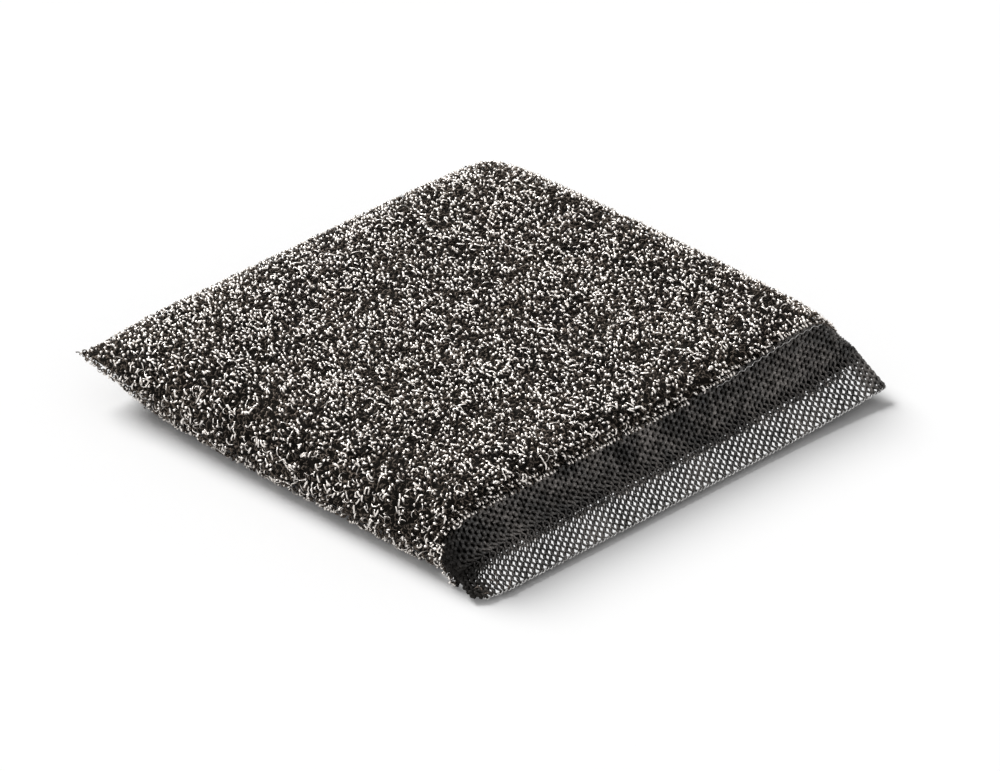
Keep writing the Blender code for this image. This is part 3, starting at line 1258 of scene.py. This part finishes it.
        middle, reach = (upper + lower) / 2, (upper - lower) / 2
        size = np.linalg.norm(reach, axis=1, keepdims=True)
        spoke = reach * np.cos(angles)[:, None] + size * outward * np.sin(angles)[:, None]
        points = np.concatenate([low[::-1], (middle + spoke)[::-1], high])
        upward = np.concatenate([low_up[::-1], (spoke / size)[::-1], high_up])
        lift = self.knot_lift * turn * np.cos(4 * math.pi * top_phase)
        points[-len(high) :] += high_up * lift[:, None]
        phases = np.concatenate([under_phase[::-1], bend_phase[::-1], top_phase])
        full = self._full(points[:, 1])
        swell = self.knot_swell + (self.band_swell - self.knot_swell) * full
        knots = (1 + swell * self._wave(phases) ** 4) * (1 + self._at(loose[1], phases))
        return points, upward, self._radius(points) * knots

    def _painted_relief(self, points: Array, radius: Array) -> Array:
        """Return a wale's painted light: over the foam its thick knots get painted highlights and
        the thin yarn between painted shade, so they stand out as beads.
        """
        swell = radius / self._radius(points)
        bead = np.clip((swell - self.least_swell) / self.band_swell, 0.0, 1.0)
        full = self._full(points[:, 1])
        painted_beads = self.valley_painted_shade + (1 - self.valley_painted_shade) * bead
        return self.even_shade * (1 - full) + painted_beads * full

    def _at(self, values: Array, phase: Array) -> Array:
        """Read a yarn's unevenness, which is kept at every half course."""
        return np.interp(phase, np.arange(len(values)) / 2 + self.first_half_course, values)

    def _shortened(self, place: float) -> float:
        """Return how far a wale stops short of the flap's edge at its one rounded corner."""
        inward = max(self.corner_radius - place * self.form.width, 0.0)
        return self.corner_radius - math.sqrt(self.corner_radius**2 - inward**2)

    def _rows_per_metre(self, skin: Skin) -> float:
        """Return how many of the skin's rows there are to a metre of the flap."""
        return 1 / float(np.linalg.norm(skin.points[1, 0] - skin.points[0, 0]))

    def _lay(self, skin: Skin, rows: Array, columns: Array) -> tuple[Array, Array]:
        """Return points half a yarn under the skin, and the outward direction there."""
        points, normals = skin.at(rows, columns)
        return points - normals * self._radius(points)[:, None], normals

    def _full(self, along: Array) -> Array:
        """Return 0 on the flap and 1 over the foam, from Y."""
        return eased((along - self.form.crease_y + self.full_before) / self.full_over)

    def _radius(self, points: Array) -> Array:
        """Return the yarn's radius at each point: fine on the flap, fuller over the foam."""
        return (self.flap_yarn + (self.band_yarn - self.flap_yarn) * self._full(points[:, 1])) / 2

    def build_edge_thread(self, skin: Skin) -> bpy.types.Object:
        """Build the fine pale thread that runs in small steps along the flap's edge."""
        count = round(4 * self.form.width / self.wale_pitch)
        last = 1 - self.thread_end * self.corner_radius / self.form.width
        place = np.linspace(self.thread_start, last, count)
        top, _ = skin.at(np.zeros(count), NET_COLUMNS / 2 * place)
        low, _ = skin.at(np.zeros(count), NET_COLUMNS - NET_COLUMNS / 2 * place)
        line = (top + low) / 2
        beat = 2 * math.pi * np.arange(count) / 4
        line[:, 1] += self.edge_inset - self.edge_swing * np.sin(beat)
        line[:, 2] += self.edge_bob * np.cos(beat) + self.edge_drift * np.sin(DRIFT_BEAT * beat)
        upward = np.tile([0.0, -1.0, 0.0], (count, 1))
        return add_strand("edge_thread", line, upward, self.edge_thread, self.sides)


def add_strand(
    name: str, line: Array, upward: Array, thick: float, sides: int
) -> bpy.types.Object:
    """Put one fine silver tube along a line of points in the scene.

    Args:
        name: The piece's name.
        line: The points.
        upward: The outward direction at each.
        thick: The tube's diameter.
        sides: How many sides it has.

    Returns:
        The piece.
    """
    soup = Soup()
    soup.add_tubes(swept(line[None], upward[None], thick / 2, sides))
    return add_piece(name, soup.mesh(name), STRAND_FILM.build())


@dataclass
class BorderStrand:
    """A fine silver strand that wanders along the end of the pile."""

    form: PadForm
    start: float = 0.018
    end: float = 0.045
    thick: float = 0.00010
    period: float = 0.00187
    swing: float = 0.00007
    inset: float = 0.00012
    steps: int = 240
    rows: int = 25
    before: float = 0.0020
    beyond: float = 0.0004
    lift: float = 0.00008
    bob: float = 0.00006

    def build(self) -> bpy.types.Object:
        """Build the strand as a thin tube on the border."""
        form = self.form
        rows = np.linspace(form.border_y - self.before, form.border_y + self.beyond, self.rows)
        skin = Skin.over(form, rows, NET_COLUMNS)
        across = np.linspace(self.start, self.end, self.steps)
        beat = 2 * math.pi * (across - self.start) / self.period
        middle, half = self.rows // 2, NET_COLUMNS // 2
        column = np.interp(-across, -skin.points[middle, :half, 0], np.arange(half))
        wander = self.swing * (np.sin(beat) + 0.4 * np.sin(DRIFT_BEAT * beat + 1.0)) - self.inset
        points, _ = skin.at(np.full(self.steps, float(middle)), column)
        row = np.interp(form.pile_end(points) + wander, rows, np.arange(self.rows))
        points, normals = skin.at(row, column)
        points = points + normals * (self.lift + self.bob * np.sin(0.9 * beat))[:, None]
        return add_strand("border_strand", points, normals, self.thick, 4)


@dataclass
class LooseEnds:
    """A few short brown yarn ends that curl at the flap's corner at -X."""

    form: PadForm
    count: int = 9
    seed: int = 21
    rows: Range = (0.2, 5.0)
    columns: Range = (8.0, 60.0)
    skin_rows: int = 13

    def build(self) -> list[bpy.types.Object]:
        """Build the curls as one piece."""
        form = self.form
        way = np.linspace(form.edge_y, form.crease_y, self.skin_rows)
        skin = Skin.over(form, way, NET_COLUMNS)
        chance = np.random.default_rng(self.seed)
        rows = chance.uniform(*self.rows, self.count)
        spots = Spots(rows, NET_COLUMNS / 2 - chance.uniform(*self.columns, self.count))
        curls = [
            LoopShape(0.00034, 0.00014, 0.00016, sides=4, steps=6, sweep_deg=280.0, lean=0.5),
            LoopShape(0.00042, 0.00014, 0.00016, sides=4, steps=6, stretch=1.3, twist=0.5),
        ]
        made = LoopField(
            "loose_ends", BROWN_END, curls, proud=0.00026, proud_spread=0.00010, scale_spread=0.3,
            tilt_deg=50.0, seed=22,
        )
        return made.place(skin, spots, form)


@dataclass
class Studio:
    """The floor, the soft light and the camera."""

    centre: tuple[float, float, float] = (0.0, 0.0, 0.007)
    azimuth_deg: float = -44.8
    elevation_deg: float = 30.26
    distance: float = 1.8
    focal_pixels: float = 10190.0
    centre_pixel: tuple[float, float] = (483.8, 363.0)
    floor_side: float = 3.0
    glow_bend: float = 0.0014
    glow_bend_over: float = 0.05
    left_glow: float = 0.13
    left_fade: Range = (-0.0440, -0.0490)
    flap_glow: float = 0.92
    room_level: float = 0.30
    key_level: float = 2.33
    key_spread_deg: float = 30.0
    key_elevation_deg: float = 39.5
    sensor_mm: float = 36.0
    sight: float = 20.0

    def build(self) -> None:
        """Make all of the studio."""
        self.build_floor()
        self.build_lights()
        self.build_camera()

    def axes(self) -> tuple[Vector, Vector, Vector]:
        """Return the camera's right, up and backward directions."""
        turn, lift = math.radians(self.azimuth_deg), math.radians(self.elevation_deg)
        level = math.cos(lift)
        back = Vector((math.sin(turn) * level, -math.cos(turn) * level, math.sin(lift)))
        right = Vector((math.cos(turn), math.sin(turn), 0.0))
        return right, back.cross(right), back

    def build_camera(self) -> None:
        """Make the camera, aimed so that the pad's middle falls on its pixel of the photograph."""
        data = bpy.data.cameras.new("camera")
        data.sensor_fit = "HORIZONTAL"
        data.sensor_width = self.sensor_mm
        data.lens = self.focal_pixels / PHOTO_WIDE * self.sensor_mm
        data.clip_end = self.sight
        right, upward, back = self.axes()
        per_pixel = self.distance / self.focal_pixels
        off_right = (PHOTO_WIDE / 2 - self.centre_pixel[0]) * per_pixel
        off_up = (self.centre_pixel[1] - PHOTO_TALL / 2) * per_pixel
        aim = Vector(self.centre) + right * off_right + upward * off_up
        camera = bpy.data.objects.new("camera", data)
        turned = Matrix((right, upward, back)).transposed().to_4x4()
        camera.matrix_world = Matrix.Translation(aim + back * self.distance) @ turned
        bpy.context.scene.collection.objects.link(camera)
        bpy.context.scene.camera = camera

    def build_floor(self) -> None:
        """Make the pale floor, part of which glows for the camera alone."""
        mesh = bmesh.new()
        bmesh.ops.create_grid(mesh, x_segments=1, y_segments=1, size=self.floor_side / 2)
        data = bpy.data.meshes.new("floor")
        mesh.to_mesh(data)
        mesh.free()
        floor = bpy.data.objects.new("floor", data)
        bpy.context.scene.collection.objects.link(floor)
        made = bpy.data.materials.new("pale_floor")
        made.use_nodes = True
        nodes = made.node_tree.nodes
        wires = Wiring(made.node_tree)
        shader = nodes["Principled BSDF"]
        pale = opaque(0.97, 0.97, 0.97)
        wires.feed(shader, {"Base Color": pale, "Roughness": 0.9, "Specular IOR Level": 0.0})
        glow = wires.add("Emission", {"Strength": 1.0})
        share = wires.math("MULTIPLY", self.seen_rays(wires), self.glow_level(wires))
        surface = wires.add("MixShader", {"Fac": share, 1: shader.outputs["BSDF"], 2: glow})
        wires.feed(nodes["Material Output"], {"Surface": surface})
        data.materials.append(made)

    def glow_level(self, wires: Wiring) -> Socket:
        """Make the share of the floor that glows, as painted light: much under the see-through
        flap, lifting its shadow there, and a little at -X.

        Args:
            wires: The floor material's nodes.

        Returns:
            The socket with the share.
        """
        axes = wires.add("SeparateXYZ", {"Vector": wires.place()}).node.outputs
        bend = wires.math("POWER", wires.ranged(axes["X"], (0.0, self.glow_bend_over)), 3.0)
        edge = wires.math("MULTIPLY_ADD", bend, -self.glow_bend, axes["Y"])
        level = 1.0
        for source, none, full in (
            (axes["X"], -0.0490, -0.0455),
            (axes["X"], 0.0530, 0.0500),
            (edge, -0.0492, -0.0485),
            (axes["Y"], -0.0365, -0.0395),
        ):
            fade = wires.ranged(source, (none, full))
            fade.node.interpolation_type = "SMOOTHSTEP"
            level = wires.math("MULTIPLY", fade, level)
        # Painted light: a faint glow lightens the floor's shadow beside the -X side.
        left = wires.ranged(axes["X"], self.left_fade, (0.0, self.left_glow))
        return wires.ranged(level, target=(left, self.flap_glow))

    def seen_rays(self, wires: Wiring) -> Socket:
        """Return 1 for rays that show the background: straight, mirrored or let through."""
        rays = wires.add("LightPath", {}).node.outputs
        either = rays["Is Camera Ray"]
        for name in ("Is Glossy Ray", "Is Transmission Ray"):
            either = wires.math("MAXIMUM", either, rays[name])
        return either

    def build_lights(self) -> None:
        """Make a broad soft key from behind the pad and an even white room."""
        data = bpy.data.lights.new("soft_key", "SUN")
        data.energy = self.key_level / math.sin(math.radians(self.key_elevation_deg))
        data.angle = math.radians(self.key_spread_deg)
        light = bpy.data.objects.new("soft_key", data)
        lift = math.radians(self.key_elevation_deg)
        towards = Vector((0.0, math.cos(lift), math.sin(lift)))
        light.location = Vector(self.centre) + towards
        light.rotation_euler = towards.to_track_quat("Z", "Y").to_euler()
        bpy.context.scene.collection.objects.link(light)
        world = bpy.data.worlds.new("white_room")
        bpy.context.scene.world = world
        world.use_nodes = True
        wires = Wiring(world.node_tree)
        level = wires.ranged(self.seen_rays(wires), target=(self.room_level, 1.0))
        background = world.node_tree.nodes["Background"]
        wires.feed(background, {"Color": opaque(1.0, 1.0, 1.0), "Strength": level})


def dress_core() -> None:
    """Give the foam slab its black cells. It shows as black behind the net's holes."""
    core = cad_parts["foam_core"]
    core.data.materials.clear()
    core.data.materials.append(FoamFinish().build())


def main() -> None:
    """Build the pad and its studio, and report each piece."""
    logging.basicConfig(level=logging.INFO, format="%(message)s")
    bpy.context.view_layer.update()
    bpy.context.scene.view_settings.view_transform = "Standard"
    form = PadForm()
    Studio().build()
    dress_core()
    Pile(form).build()
    NetEnd(form).build()
    BorderStrand(form).build()
    LooseEnds(form).build()


if __name__ == "__main__":
    main()
